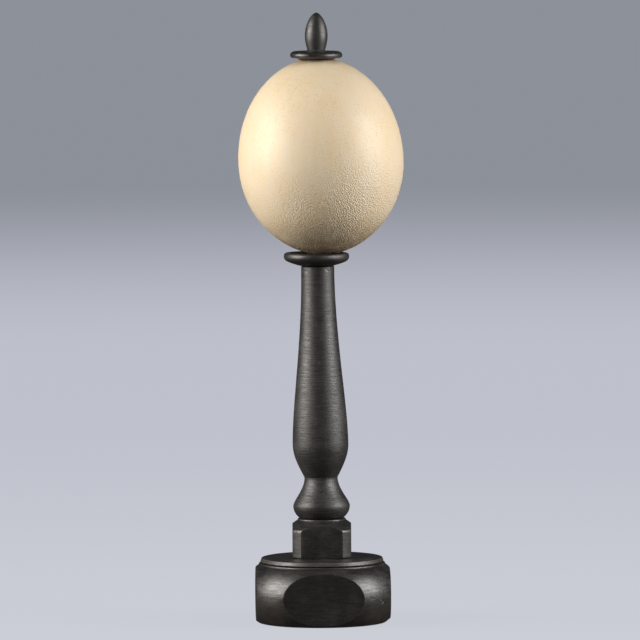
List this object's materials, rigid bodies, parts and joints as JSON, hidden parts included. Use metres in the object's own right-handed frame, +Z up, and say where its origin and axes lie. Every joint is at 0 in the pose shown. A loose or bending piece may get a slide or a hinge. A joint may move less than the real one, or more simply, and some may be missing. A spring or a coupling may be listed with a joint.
{
  "type": "ostrich egg on a turned stand",
  "caption": "Whole ostrich egg held upright between a dish and a capped finial on a dark turned baluster stand with a flat-sided drum base.",
  "frame": {"origin": "middle of the drum's flat underside, on the surface that the stand rests on", "axes": "+Z up the stand towards the finial; -Y is the way the drum's front flat looks, and +X is to the right of someone facing that flat"},
  "size_m": [0.1298, 0.13, 0.4794],
  "materials": {
    "ebonised_wood": "satin",
    "eggshell": "satin",
    "rod_steel": "satin"
  },
  "bodies": {
    "root": {"base_drum": "ebonised_wood", "base_plate": "ebonised_wood", "block": "ebonised_wood", "baluster": "ebonised_wood", "dish": "ebonised_wood", "cap_disc": "ebonised_wood", "finial": "ebonised_wood", "egg": "eggshell", "tie_rod": "rod_steel"}
  },
  "joints": []
}
